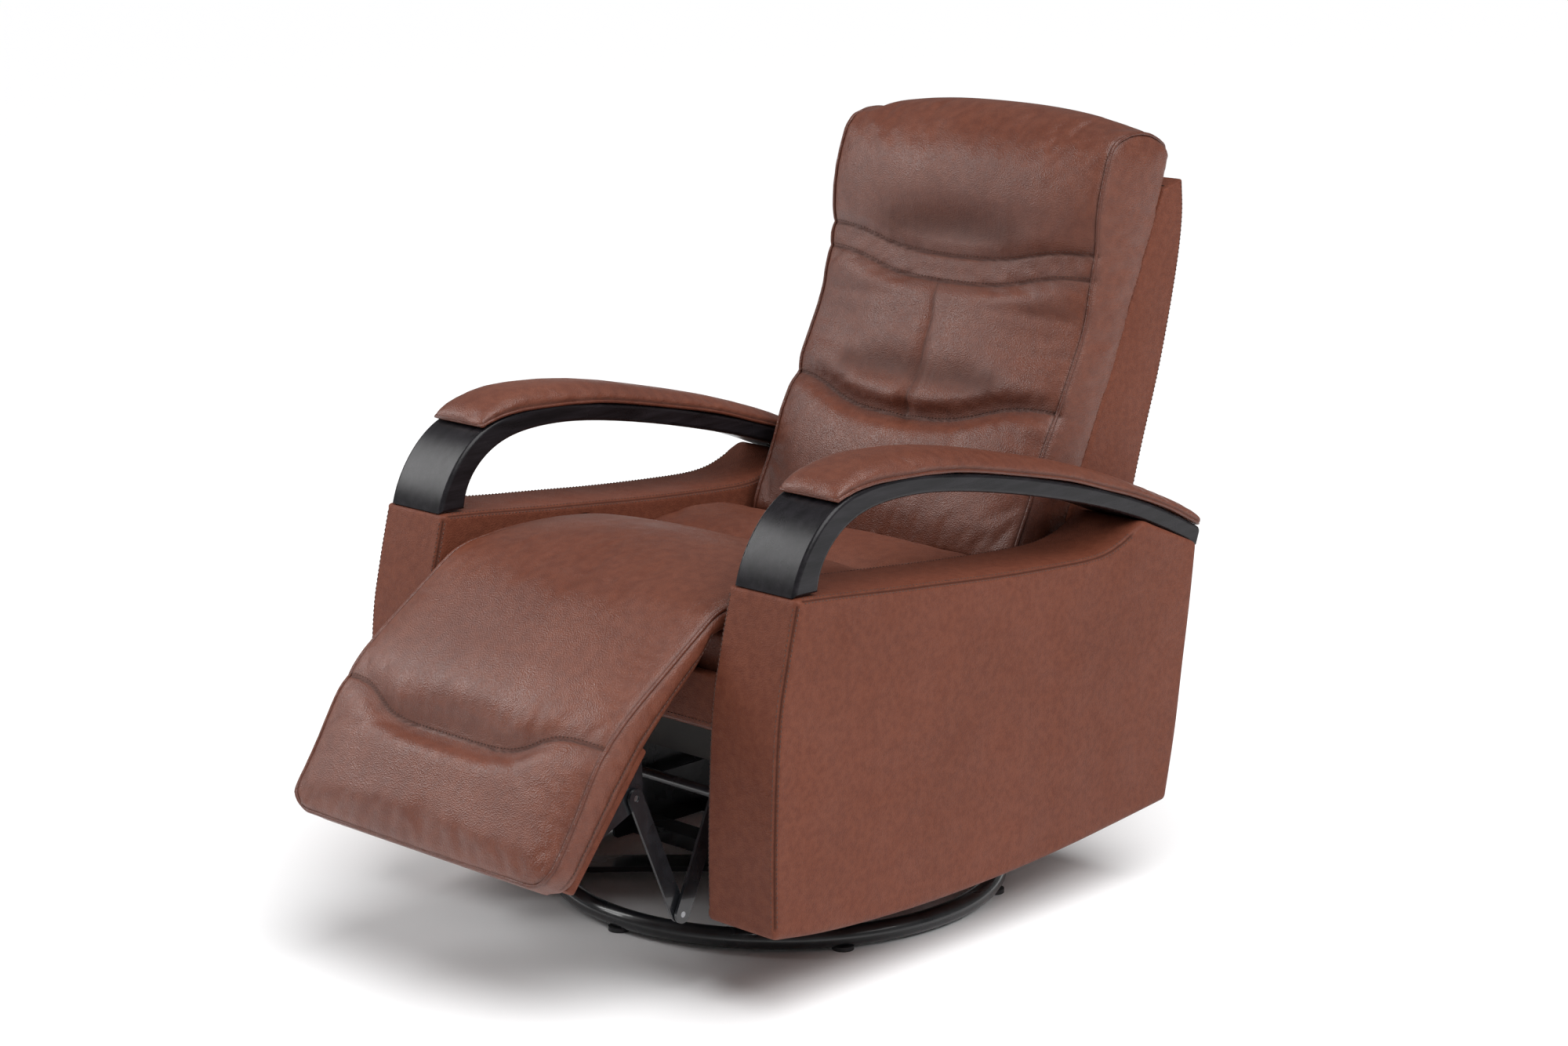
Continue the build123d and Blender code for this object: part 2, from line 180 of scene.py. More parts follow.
def noise(tree, place, scale, detail=3.0, stretch=None):
    """A cloudy pattern, scale in clouds per metre, stretched along an axis if asked."""
    if stretch:
        mapping = tree.nodes.new("ShaderNodeMapping")
        mapping.inputs["Scale"].default_value = stretch
        tree.links.new(place, mapping.inputs["Vector"])
        place = mapping.outputs["Vector"]
    pattern = tree.nodes.new("ShaderNodeTexNoise")
    pattern.inputs["Scale"].default_value = scale
    pattern.inputs["Detail"].default_value = detail
    tree.links.new(place, pattern.inputs["Vector"])
    return pattern.outputs["Fac"]


def cells(tree, place, scale):
    """Pebbles, scale in pebbles per metre: 0 in the middle of each, and rising to its rim."""
    pattern = tree.nodes.new("ShaderNodeTexVoronoi")
    pattern.inputs["Scale"].default_value = scale
    tree.links.new(place, pattern.inputs["Vector"])
    return pattern.outputs["Distance"]


def ramp(tree, value, stops):
    """A colour ramp over a value: stops are (position, grey or colour)."""
    node = tree.nodes.new("ShaderNodeValToRGB")
    for index, (position, colour) in enumerate(stops):
        points = node.color_ramp.elements
        point = points[index] if index < 2 else points.new(position)
        point.position = position
        point.color = (*colour, 1) if isinstance(colour, tuple) else (colour, colour, colour, 1)
    tree.links.new(value, node.inputs["Fac"])
    return node.outputs["Color"]


def blend_colours(tree, amount, first, second, kind="MIX"):
    """Two colours mixed by an amount, which is a socket or a number."""
    node = tree.nodes.new("ShaderNodeMix")
    node.data_type = "RGBA"
    node.blend_type = kind
    factor, colour_a, colour_b = (node.inputs[index] for index in (0, 6, 7))
    for value, socket in ((amount, factor), (first, colour_a), (second, colour_b)):
        if isinstance(value, (int, float)):
            socket.default_value = value
        elif isinstance(value, tuple):
            socket.default_value = (*value, 1)
        else:
            tree.links.new(value, socket)
    return node.outputs[2]


def add_bump(tree, shader, height, distance, strength=1.0, under=None):
    """A bump of a real height in metres, on top of another bump if one is given."""
    node = tree.nodes.new("ShaderNodeBump")
    node.inputs["Distance"].default_value = distance
    node.inputs["Strength"].default_value = strength
    tree.links.new(height, node.inputs["Height"])
    if under:
        tree.links.new(under, node.inputs["Normal"])
    tree.links.new(node.outputs["Normal"], shader.inputs["Normal"])
    return node.outputs["Normal"]


print("helpers for finishes ready")

# %% [markdown]
# ## Leather
#
# The hide is a warm red brown with a semi-gloss top coat. Three things make it leather and not
# plastic: a fine pebble just under two millimetres across, cloudy changes of colour where the
# dye took more or less, and a darker, duller colour in the seams and hollows. That darkening is
# the seams' own dark line in their grooves and painted shade in the valleys and hollows beside
# them. It comes from an attribute which each upholstered piece writes on its own points near its seams.

# %% Make the leather
PEBBLES = 560
# How dark the seam lines and the painted shade of valleys and hollows get, as a share of the dark colour,
# and how rough they are
SEAM_AND_SHADE_DARKNESS = 0.30
CREASE_ROUGHNESS = (0.9, 0.9, 0.9)


def make_leather(name, light, dark, cloud, gloss, shine):
    """Grained leather. cloud is how many mottles there are per metre, gloss its least roughness."""
    material, tree, shader, place = new_finish(name, 0.45)
    shader.inputs["Specular IOR Level"].default_value = shine
    broad = ramp(tree, noise(tree, place, 5.0, 3), [(0.3, dark), (0.7, light)])
    pale_mottle, deep_mottle = (1.08, 1.10, 1.10), (0.88, 0.85, 0.85)
    mottle = ramp(tree, noise(tree, place, cloud, 5), [(0.36, deep_mottle), (0.64, pale_mottle)])
    colour = blend_colours(tree, 1.0, broad, mottle, "MULTIPLY")
    # Darken the colour by an attribute of the points: a dark line in the seams, and painted shade in the
    # pressed valleys and hollows
    seam_and_shade = tree.nodes.new("ShaderNodeAttribute")
    seam_and_shade.attribute_name = "seam_and_shade"
    deep = tuple(SEAM_AND_SHADE_DARKNESS * v for v in dark)
    colour = blend_colours(tree, seam_and_shade.outputs["Fac"], colour, deep)
    pebble = cells(tree, place, PEBBLES)
    cracks = ramp(tree, pebble, [(0.0, 1.03), (0.8, 0.84)])
    colour = blend_colours(tree, 1.0, colour, cracks, "MULTIPLY")
    tree.links.new(colour, shader.inputs["Base Color"])
    rough = ramp(tree, noise(tree, place, 18, 4), [(0.3, gloss), (0.7, gloss + 0.14)])
    dull = blend_colours(tree, seam_and_shade.outputs["Fac"], rough, CREASE_ROUGHNESS)
    tree.links.new(dull, shader.inputs["Roughness"])
    fold = add_bump(tree, shader, noise(tree, place, 26, 3), 0.0012, 0.25)
    soft = add_bump(tree, shader, noise(tree, place, 170, 4), 0.0008, 0.40, under=fold)
    add_bump(tree, shader, pebble, 0.0009, 0.50, under=soft)
    return material


leather = make_leather(
    "red_brown_leather", (0.168, 0.052, 0.029), (0.130, 0.037, 0.020), 70, 0.31, 0.48)
panel_leather = make_leather(
    "panel_leather", (0.166, 0.049, 0.027), (0.143, 0.041, 0.022), 100, 0.46, 0.2)
print("leathers:", leather.name, "and", panel_leather.name)

# %% [markdown]
# ## Thread and piping
#
# The thread is waxed polyester a shade darker than the hide, twisted in two strands. Piping is
# the same hide rolled round a cord, which gets rubbed, so it is a little smoother and darker.

# %% Make the thread and the piping leather
thread, tree, shader, place = new_finish("brown_thread", 0.6)
twist = noise(tree, place, 900, 2)
waxed = ramp(tree, twist, [(0.3, (0.045, 0.016, 0.010)), (0.7, (0.10, 0.04, 0.026))])
tree.links.new(waxed, shader.inputs["Base Color"])
add_bump(tree, shader, twist, 0.0003, 0.6)
piping_leather = make_leather(
    "piping_leather", (0.135, 0.037, 0.019), (0.100, 0.026, 0.013), 60, 0.32, 0.5)
print("thread and piping ready")

# %% [markdown]
# ## Wood, steel and the rest
#
# The bentwood arms are stained almost black and lacquered to a satin: the grain shows only as a
# faint streak along the arm. The steel under the seat is dipped in black enamel, which pools and
# shines. The hardwood rails are coloured almost black, so that they are not noticed behind it.
# Pins and bolts are zinc plated.

# %% Make the lacquered wood
dark_wood, tree, shader, place = new_finish("espresso_wood", 0.36, coat=0.05)
shader.inputs["Coat Roughness"].default_value = 0.30
shader.inputs["Specular IOR Level"].default_value = 0.22
grain = noise(tree, place, 14, 6, stretch=(6.0, 0.7, 6.0))
fine_grain = noise(tree, place, 60, 4, stretch=(9.0, 0.6, 9.0))
stain = ramp(tree, grain, [(0.35, (0.0060, 0.0054, 0.0066)), (0.65, (0.0150, 0.0132, 0.0160))])
pores = ramp(tree, fine_grain, [(0.35, 0.72), (0.6, 1.1)])
tree.links.new(blend_colours(tree, 1.0, stain, pores, "MULTIPLY"), shader.inputs["Base Color"])
satin = ramp(tree, noise(tree, place, 9, 4), [(0.3, 0.24), (0.7, 0.34)])
tree.links.new(satin, shader.inputs["Roughness"])
add_bump(tree, shader, fine_grain, 0.0002, 0.2)
print("wood:", dark_wood.name)


# %% Make the enamel, zinc, timber, cloth and plastic
def make_plain(
        name, light, dark, scale, rough, metallic=0.0, bump=0.0003, stretch=None, coat=0.0):
    """A finish with clouded colour and roughness and a fine bump."""
    material, tree, shader, place = new_finish(name, rough, metallic, coat)
    cloud = noise(tree, place, scale, 5, stretch)
    tree.links.new(ramp(tree, cloud, [(0.32, dark), (0.68, light)]), shader.inputs["Base Color"])
    patches = noise(tree, place, scale / 4, 3)
    worn = ramp(tree, patches, [(0.3, max(rough - 0.1, 0.05)), (0.7, rough + 0.12)])
    tree.links.new(worn, shader.inputs["Roughness"])
    add_bump(tree, shader, cloud, bump, 0.4)
    return material


finishes = {
    "leather": panel_leather,
    "dark_wood": dark_wood,
    "black_steel": make_plain(
        "black_enamel", (0.016, 0.017, 0.020), (0.007, 0.0075, 0.009), 40, 0.28, coat=0.4),
    "zinc_steel": make_plain(
        "zinc_plate", (0.42, 0.43, 0.44), (0.26, 0.27, 0.29), 120, 0.34, 1.0),
    "timber": make_plain(
        "frame_timber", (0.024, 0.019, 0.016), (0.012, 0.010, 0.009), 20, 0.7,
        stretch=(1, 0.15, 1)),
    "black_cloth": make_plain(
        "black_dust_cloth", (0.022, 0.022, 0.024), (0.010, 0.010, 0.012), 700, 0.9, bump=0.0006),
    "black_plastic": make_plain(
        "black_plastic", (0.030, 0.030, 0.032), (0.018, 0.018, 0.020), 300, 0.5),
}
print("finishes:", len(finishes))

# %% Give every engineering part its finish
for entry in frame["record"]["subparts"]:
    part = frame["nodes"][entry["node"]]
    part.data.materials.clear()
    part.data.materials.append(finishes[entry["material_slot"]])

# %% [markdown]
# ## Helpers for upholstery
#
# An upholsterer works from a side outline: where the piping runs, and how deep the foam is
# behind it. So do we. An outline is a short list of points in millimetres, drawn through with a
# smooth curve. A cushion is then a cube, cut into small squares, whose points are moved so that
# one face follows the piping line, the opposite face follows the foam's back, and the middle is
# crowned outwards.

# %% Smooth outlines, measured along their length
MM = 0.001
CURVE_STEPS = 24
BATCH = 4000


def between(place, places, rows):
    """The row, or rows, that a table has at a place between its own places."""
    return np.stack([np.interp(place, places, column) for column in rows.T], -1)


class Outline:
    """A smooth curve through points of the side view, (y, z) in millimetres."""

    def __init__(self, points):
        knots = np.array(points, float) * MM
        knots = np.vstack([2 * knots[0] - knots[1], knots, 2 * knots[-1] - knots[-2]])
        curve = []
        for p0, p1, p2, p3 in zip(knots[:-3], knots[1:-2], knots[2:-1], knots[3:]):
            for t in np.arange(CURVE_STEPS) / CURVE_STEPS:
                curve.append(0.5 * (
                    2 * p1 + (p2 - p0) * t + (2 * p0 - 5 * p1 + 4 * p2 - p3) * t ** 2
                    + (3 * p1 - p0 - 3 * p2 + p3) * t ** 3))
        self.points = np.array(curve + [knots[-2]])
        self.knots = len(points) - 1

    def at(self, share):
        """The point at a share of the way, counted in knots, and the outward normal there."""
        places = np.linspace(0, 1, len(self.points))
        spot, ahead, behind = (
            between(place, places, self.points)
            for place in (share, min(share + 0.004, 1), max(share - 0.004, 0)))
        along = ahead - behind
        along /= max(np.hypot(*along), 1e-9)
        return spot, np.array([-along[1], along[0]])

    def nearest(self, spots):
        """For many (y, z) spots: the share of the way of the nearest point, and how far it is."""
        shares, gaps = np.empty(len(spots)), np.empty(len(spots))
        for start in range(0, len(spots), BATCH):
            batch = slice(start, start + BATCH)
            distance = np.hypot(*(spots[batch, None, :] - self.points[None]).transpose(2, 0, 1))
            best = distance.argmin(1)
            shares[batch] = best / (len(self.points) - 1)
            gaps[batch] = distance[np.arange(len(best)), best]
        return shares, gaps


print("outlines ready")


# %% A cube whose points follow a rule
def pick(piece):
    """Make a piece the active one and the only one selected."""
    bpy.ops.object.select_all(action="DESELECT")
    bpy.context.view_layer.objects.active = piece
    piece.select_set(True)


def tidy_piece(piece):
    """Merge doubles, point the faces outwards, and shade smooth."""
    pick(piece)
    bpy.ops.object.mode_set(mode="EDIT")
    bpy.ops.mesh.select_all(action="SELECT")
    bpy.ops.mesh.remove_doubles(threshold=0.00005)
    bpy.ops.mesh.normals_make_consistent(inside=False)
    bpy.ops.object.mode_set(mode="OBJECT")
    bpy.ops.object.shade_smooth()
    return piece


def shaped_block(name, cuts, rule):
    """A cube from -1 to 1, cut evenly, each point moved to where rule(a, b, c) puts it."""
    bpy.ops.object.select_all(action="DESELECT")
    bpy.ops.mesh.primitive_cube_add(size=2)
    block = bpy.context.object
    block.name = name
    bpy.ops.object.mode_set(mode="EDIT")
    bpy.ops.mesh.subdivide(number_cuts=cuts)
    bpy.ops.object.mode_set(mode="OBJECT")
    for point in block.data.vertices:
        point.co = rule(*point.co)
    return tidy_piece(block)


EDGE_CROWDING = 2.2


def rounded(point, half, radius):
    """A cube point drawn towards the nearest edge, with the edges rounded. half is in metres."""
    half = np.array(half)
    spread = np.array([math.copysign(1 - (1 - abs(v)) ** EDGE_CROWDING, v) for v in point])
    place = spread * half
    core = np.clip(place, radius - half, half - radius)
    over = place - core
    length = np.linalg.norm(over)
    return (core + over * (radius / length)) / half if length > 0 else spread


def apply_modifier(piece, kind, **settings):
    """Add a modifier by its kind, set it, and apply it at once."""
    pick(piece)
    modifier = piece.modifiers.new(kind.lower(), kind)
    for setting, value in settings.items():
        setattr(modifier, setting, value)
    bpy.ops.object.modifier_apply(modifier=modifier.name)


def read_points(piece, field="co"):
    """All points of a mesh as rows of x, y, z, or another field of them, such as normal."""
    flat = np.empty(len(piece.data.vertices) * 3)
    piece.data.vertices.foreach_get(field, flat)
    return flat.reshape(-1, 3)


def write_points(piece, points):
    """Put the points back and refresh the mesh."""
    piece.data.vertices.foreach_set("co", points.ravel())
    piece.data.update()


def write_seam_and_shade(piece, amount):
    """Write how dark each point is painted, from 0 to 1: the seams' dark line, and painted shade in valleys
    and hollows.
    """
    layers = piece.data.attributes
    layer = layers.get("seam_and_shade") or layers.new("seam_and_shade", "FLOAT", "POINT")
    layer.data.foreach_set("value", np.clip(amount, 0, 1).astype(np.float32))


print("block and mesh helpers ready")

# %% [markdown]
# ## Swelling a cushion
#
# Leather over foam is cloth under pressure that is held down along its seams. The block is cut
# into an even skin of small squares, the points on seams are pinned, and the cloth is cut a
# little larger than the foam so that it gathers beside the pins. Twenty steps of pressure swell
# it. No point may travel further than a real cushion would, and one subdivision smooths it.

# %% Swell a block with the cloth simulation
SWELL_FRAMES = 20
UPHOLSTERY_CLOTH = {
    "quality": 5, "mass": 0.35, "tension_stiffness": 18, "compression_stiffness": 18,
    "shear_stiffness": 8, "bending_stiffness": 1.2, "use_pressure": True,
    "uniform_pressure_force": 4.0, "vertex_group_mass": "pinned",
}


def swell(piece, voxel, pinned, cap, extra=0.02):
    """Remesh, pin where pinned(points) is 1, swell, and limit each point's travel to cap."""
    apply_modifier(piece, "REMESH", mode="VOXEL", voxel_size=voxel)
    rest = read_points(piece)
    hold = piece.vertex_groups.new(name="pinned")
    for index, weight in enumerate(pinned(rest)):
        if weight > 0:
            hold.add([index], float(weight), "REPLACE")
    cloth = piece.modifiers.new("cloth", "CLOTH")
    for setting, value in UPHOLSTERY_CLOTH.items():
        setattr(cloth.settings, setting, value)
    cloth.settings.shrink_min = -extra
    cloth.settings.effector_weights.gravity = 0
    cloth.collision_settings.use_collision = False
    cloth.point_cache.frame_start, cloth.point_cache.frame_end = 1, SWELL_FRAMES
    for step in range(1, SWELL_FRAMES + 1):
        scene.frame_set(step)
    pick(piece)
    bpy.ops.object.modifier_apply(modifier="cloth")
    scene.frame_set(1)
    piece.vertex_groups.clear()
    moved = read_points(piece) - rest
    travel = np.linalg.norm(moved, axis=1)
    limit = cap(rest)
    share = np.minimum(1, limit * np.tanh(travel / limit) / np.maximum(travel, 1e-9))
    write_points(piece, rest + moved * share[:, None])
    print(piece.name, "swelled by up to", round(float((travel * share).max()) / MM, 1), "mm")
    apply_modifier(piece, "SMOOTH", factor=0.5, iterations=2)
    apply_modifier(piece, "SUBSURF", levels=1, render_levels=1)
    bpy.ops.object.shade_smooth()


print("swelling ready")

# %% [markdown]
# ## Piping and stitches
#
# Piping is a cord wrapped in leather and sewn into the seam, a smooth tube about 5 mm thick.
# A stitch is a short fat grain of thread, pinched at both ends where it dives into the hide.
# One stitch is modelled and then laid along a line, each turned to lie on the surface.

# %% Lay a tube of piping along a line of points
PIPING_PITCH = 0.006
PIPING_RADIUS = 0.0027


def travelled(line):
    """How far along a line each of its points is."""
    return np.concatenate([[0], np.cumsum(np.linalg.norm(np.diff(line, axis=0), axis=1))])


def resample(points, pitch, closed=False):
    """Points at an even pitch along a line."""
    line = np.array(points, float)
    if closed:
        line = np.vstack([line, line[:1]])
    lengths = travelled(line)
    count = max(int(lengths[-1] / pitch), 2)
    places = np.linspace(0, lengths[-1], count, endpoint=not closed)
    return between(places, lengths, line)


def lay_tube(name, points, radius, closed=False):
    """A smooth tube of piping along points, as a mesh in place."""
    path = resample(points, PIPING_PITCH, closed)
    curve = bpy.data.curves.new(name, "CURVE")
    curve.dimensions = "3D"
    curve.bevel_depth = radius
    curve.bevel_resolution = 2
    curve.use_fill_caps = True
    spline = curve.splines.new("POLY")
    spline.points.add(len(path) - 1)
    spline.points.foreach_set("co", np.column_stack([path, np.ones(len(path))]).ravel())
    spline.use_cyclic_u = closed
    tube = bpy.data.objects.new(name, curve)
    scene.collection.objects.link(tube)
    pick(tube)
    bpy.ops.object.convert(target="MESH")
    bpy.ops.object.shade_smooth()
    return bpy.context.object


print("piping ready")

# %% Model one stitch, and lay many along a line
STITCH_LENGTH = 0.0042
STITCH_PITCH = 0.0062
STITCH_LIFT = 0.0004
STITCH_GAP = 0.0042

bpy.ops.object.select_all(action="DESELECT")
bpy.ops.mesh.primitive_cylinder_add(
    vertices=6, radius=0.0007, depth=STITCH_LENGTH, rotation=(0, math.pi / 2, 0))
stitch = bpy.context.object
bpy.ops.object.transform_apply(location=True, rotation=True, scale=True)
bpy.ops.object.mode_set(mode="EDIT")
bpy.ops.mesh.select_all(action="SELECT")
bpy.ops.mesh.subdivide(number_cuts=1)
bpy.ops.object.mode_set(mode="OBJECT")
stitch_points = read_points(stitch)
ends = np.abs(stitch_points[:, 0]) / (STITCH_LENGTH / 2)
stitch_points[:, 1:] *= (1.15 - 0.75 * ends ** 2)[:, None]
stitch_points[:, 2] -= 0.0005 * ends ** 2
stitch_faces = [tuple(face.vertices) for face in stitch.data.polygons]
bpy.data.objects.remove(stitch)


def lay_stitches(name, points, normals):
    """Stitches along a line, lying on a surface whose normals are given."""
    line, ups = np.array(points, float), np.array(normals, float)
    steps = travelled(line)
    count = max(int(steps[-1] / STITCH_PITCH), 1)
    places = (np.arange(count) + 0.5) * steps[-1] / count
    vertices, faces = [], []
    for place in places:
        spot, ahead, behind = (
            between(near, steps, line)
            for near in (place, min(place + 0.002, steps[-1]), max(place - 0.002, 0)))
        up = between(place, steps, ups)
        along = (ahead - behind) / max(np.linalg.norm(ahead - behind), 1e-9)
        up = up - along * (up @ along)
        up /= max(np.linalg.norm(up), 1e-9)
        turned = stitch_points @ np.stack([along, np.cross(up, along), up])
        first = len(vertices) * len(stitch_points)
        faces += [tuple(first + v for v in face) for face in stitch_faces]
        vertices.append(turned + spot + up * STITCH_LIFT)
    mesh = bpy.data.meshes.new(name)
    mesh.from_pydata(np.concatenate(vertices).tolist(), [], faces)
    row = bpy.data.objects.new(name, mesh)
    scene.collection.objects.link(row)
    return row


print("one stitch has", len(stitch_faces), "faces")


# %% Find the surface of a finished cushion
class Skin:
    """The surface of a piece, for laying piping and stitches on it."""

    def __init__(self, piece):
        points = [v.co.copy() for v in piece.data.vertices]
        self.tree = BVHTree.FromPolygons(points, [tuple(f.vertices) for f in piece.data.polygons])

    def press(self, spots, outward, reach=0.08):
        """Drop each spot on the surface from outside. Returns the hits and their normals."""
        hits, normals = [], []
        for spot, out in zip(spots, outward):
            out = Vector(out).normalized()
            hit, normal, _, _ = self.tree.ray_cast(Vector(spot) + out * reach, -out, 2.5 * reach)
            if hit is None:
                hit, normal, _, _ = self.tree.find_nearest(Vector(spot))
            hits.append(tuple(hit))
            normals.append(tuple(normal))
        return np.array(hits), np.array(normals)


def finish_piece(piece, body, finish, nodes=()):
    """Give a piece its finish and its body, and hide the engineering parts that it stands for."""
    piece.data.materials.clear()
    piece.data.materials.append(finish)
    if piece.data.attributes.get("seam_and_shade") is None:
        write_seam_and_shade(piece, np.zeros(len(piece.data.vertices)))
    if body:
        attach(piece, body)
    if nodes:
        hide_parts(*nodes)


print("skin helper ready")

# %% [markdown]
# ## Seams pressed into the leather
#
# A seam is two things. A wide valley runs along it, because the thread holds the leather down on
# the foam, and in the bottom of the valley lies a narrow groove with a dark bottom, the seam's own
# dark line. Both are the same operation at two widths: every point near the line is pushed
# inwards, most at the line. A valley or a hollow can be darkened too, which is painted shade.

# %% Press a line into a piece
FINEST_PITCH = 0.0015
NEAR = 0.03


def press_line(piece, line, width, depths, dark=0.0):
    """Push the surface in along a line. depths is one number, or one for each line point."""
    depths = np.full(len(line), depths) if np.isscalar(depths) else np.array(depths)
    even = resample(line, max(width / 8, FINEST_PITCH))
    spans = travelled(line)
    deep = np.interp(np.linspace(0, spans[-1], len(even)), spans, depths)
    points, normals = read_points(piece), read_points(piece, "normal")
    seam_and_shade_amount = np.zeros(len(points))
    layer = piece.data.attributes.get("seam_and_shade")
    if layer:
        layer.data.foreach_get("value", seam_and_shade_amount)
    low, high = even.min(0) - 3 * width, even.max(0) + 3 * width
    near = np.flatnonzero(((points > low) & (points < high)).all(1))
    for part in np.array_split(near, len(near) // 1000 + 1):
        if not len(part):
            continue
        gaps = np.linalg.norm(points[part, None] - even[None], axis=2)
        best = gaps.argmin(1)
        strength = np.exp(-(gaps[np.arange(len(part)), best] / width) ** 2)
        points[part] -= normals[part] * (deep[best] * strength)[:, None]
        # Darken the leather near the line: the seam's dark line in a groove, painted shade in a valley or
        # hollow
        seam_and_shade_amount[part] = np.maximum(seam_and_shade_amount[part], strength ** 2 * dark)
    write_points(piece, points)
    write_seam_and_shade(piece, seam_and_shade_amount)


def press_along(piece, line, outward, width, depths, dark=0.0, reach=0.08):
    """Drop a line on the skin of a piece and press it in there."""
    hits, _ = Skin(piece).press(line, outward, reach)
    press_line(piece, hits, width, depths, dark)


def sew(piece, line, outward, across=(0, 0, 1)):
    """Press a seam's groove. Returns the line of stitches beside it, and the normals there."""
    press_along(piece, line, outward, 0.0026, 0.0022, dark=0.8)
    return Skin(piece).press(line + np.array(across, float) * STITCH_GAP, outward)


print("seams ready")

# %% [markdown]
# ## The back cushion
#
# The back is one deep cushion that curls over the top. Its front panel is crowned between two
# piped edges, and two seams across it shape a head roll and a lumbar roll: each seam hangs lower
# in the middle, with a pressed hollow above it. A short upright seam joins them. The outline is
# drawn once for the piping and once for the rear edge, and the block is stretched between them.

# %% Draw the back cushion and swell it
BACK_HALF = 0.249
back_front = Outline([
    (262, 452), (272, 483), (303, 544), (323, 597), (355, 654), (391, 721), (414, 770), (427, 834),
    (435, 873), (438, 925), (449, 969), (468, 1012), (501, 1026), (545, 1026), (582, 1012),
    (601, 997),
])
back_rear = Outline([
    (345, 448), (358, 480), (388, 540), (412, 592), (440, 648), (476, 716), (503, 785), (522, 825),
    (540, 868), (556, 900), (570, 935), (580, 965), (588, 985), (590, 992), (592, 990),
    (594, 990),
])


def back_half_width(share):
    """Half the width between the pipings, a little less towards the top."""
    return BACK_HALF - 0.010 * np.clip((np.asarray(share) - 0.62) / 0.38, 0, 1) ** 2


def back_rule(a, b, c):
    """a across, b from the front panel to the rear edge, c up the back."""
    share, depth = (c + 1) / 2, (b + 1) / 2
    spot, out = back_front.at(share)
    far, _ = back_rear.at(share)
    crown = MM * np.interp(
        share, (0, 0.3, 0.45, 0.55, 0.75, 0.9, 1), (12, 19, 21, 18, 24, 20, 8))
    swollen = crown * (1 - abs(a) ** 2.5) * max(0, 1 - 2 * depth)
    side = spot + (far - spot) * depth + out * swollen
    half = back_half_width(share) + 0.009 * depth + 0.003 * math.sin(math.pi * depth)
    return (a * half, *side)


def dip(across, centre=0.0, reach=0.58, soft=0.12):
    """How far a seam has sagged at each place across: 1 in the middle, 0 at the edges."""
    return 1 / (1 + np.exp((np.abs(np.asarray(across) - centre) - reach) / soft))


back_heights = back_front.points[:, 1]
back_peak = int(back_heights.argmax())


def back_share(level):
    """The share of the way up the front panel at which it reaches a level."""
    rising = back_heights[:back_peak]
    return np.interp(level, rising, np.arange(back_peak)) / (len(back_heights) - 1)


def back_line(level_edge, level_middle, centre=0.0):
    """A line across the front panel, from a level at the edges to another in the middle."""
    places = np.linspace(-1, 1, 81)
    levels = level_edge + (level_middle - level_edge) * dip(places, centre)
    spots, outward = [], []
    for place, level in zip(places, levels):
        share = back_share(level)
        spot, out = back_front.at(share)
        spots.append((place * (back_half_width(share) - 0.002), *spot))
        outward.append((0, *out))
    return np.array(spots), np.array(outward)


HEAD_SEAM = (0.849, 0.820, 0)
LUMBAR_SEAM = (0.655, 0.616, -0.08)
back_seams = [back_line(0.866, 0.838), back_line(0.832, 0.802), back_line(*LUMBAR_SEAM)]


def back_pins(points):
    """Hold the seams, the piped edges, and all of the rear."""
    shares, gaps = back_front.nearest(points[:, 1:])
    _, rear_gaps = back_rear.nearest(points[:, 1:])
    across = points[:, 0] / back_half_width(shares)
    levels = np.interp(shares, np.linspace(0, 1, len(back_heights)), back_heights)
    hold = (rear_gaps < 0.012) | ((np.abs(across) > 0.965) & (gaps < 0.012)) | (shares < 0.02)
    for edge, middle, centre in (HEAD_SEAM, LUMBAR_SEAM):
        seam = edge + (middle - edge) * dip(across, centre)
        hold |= (np.abs(levels - seam) < 0.005) & (gaps < 0.04) & (shares < 0.75)
    return hold.astype(float)


def back_cap(points):
    """The front panel may swell further than the sides."""
    shares, gaps = back_front.nearest(points[:, 1:])
    front = (gaps < 0.035) & (np.abs(points[:, 0]) < BACK_HALF - 0.006)
    return np.where(front, 0.011, 0.004)


back_cushion = shaped_block("back_cushion_leather", 24, back_rule)
swell(back_cushion, 0.006, back_pins, back_cap, extra=0.010)
print("back cushion:", len(back_cushion.data.polygons), "faces")

# %% Press the seams and hollows of the back
# The valleys along the seams are darkened a little: painted shade.
for (line, outward), valley in zip(back_seams, (0.007, 0.007, 0.013)):
    fade = 0.35 + 0.65 * dip(np.linspace(-1, 1, len(line)), reach=0.75)
    press_along(back_cushion, line, outward, 0.016, valley * fade, dark=0.25)


def arched(depth, count, start):
    """Depths along a hollow, deepest in its middle."""
    return depth * np.sin(np.linspace(start, math.pi - start, count))


# Each hollow has its level, its middle and reach across, its width and its depth.
# The hollows are darkened too: painted shade.
for level, centre, reach, wide, deep in (
        (0.890, -0.02, 0.46, 0.034, 0.016),
        (0.682, -0.26, 0.32, 0.027, 0.012),
        (0.680, 0.30, 0.24, 0.026, 0.009)):
    line, outward = back_line(level, level - 0.010)
    inside = np.abs(np.linspace(-1, 1, len(line)) - centre) < reach
    depths = arched(deep, inside.sum(), 0.25)
    press_along(back_cushion, line[inside], outward[inside], wide, depths, dark=0.45)
low_share, high_share = back_share(0.622), back_share(0.800)
upright, upright_out = [], []
for step in np.linspace(0, 1, 40):
    spot, out = back_front.at(low_share + (high_share - low_share) * step)
    upright.append((-0.012 + 0.010 * math.sin(math.pi * step), *spot))
    upright_out.append((0, *out))
press_along(back_cushion, upright, upright_out, 0.014, 0.0045 * np.linspace(1.5, 0.3, 40))
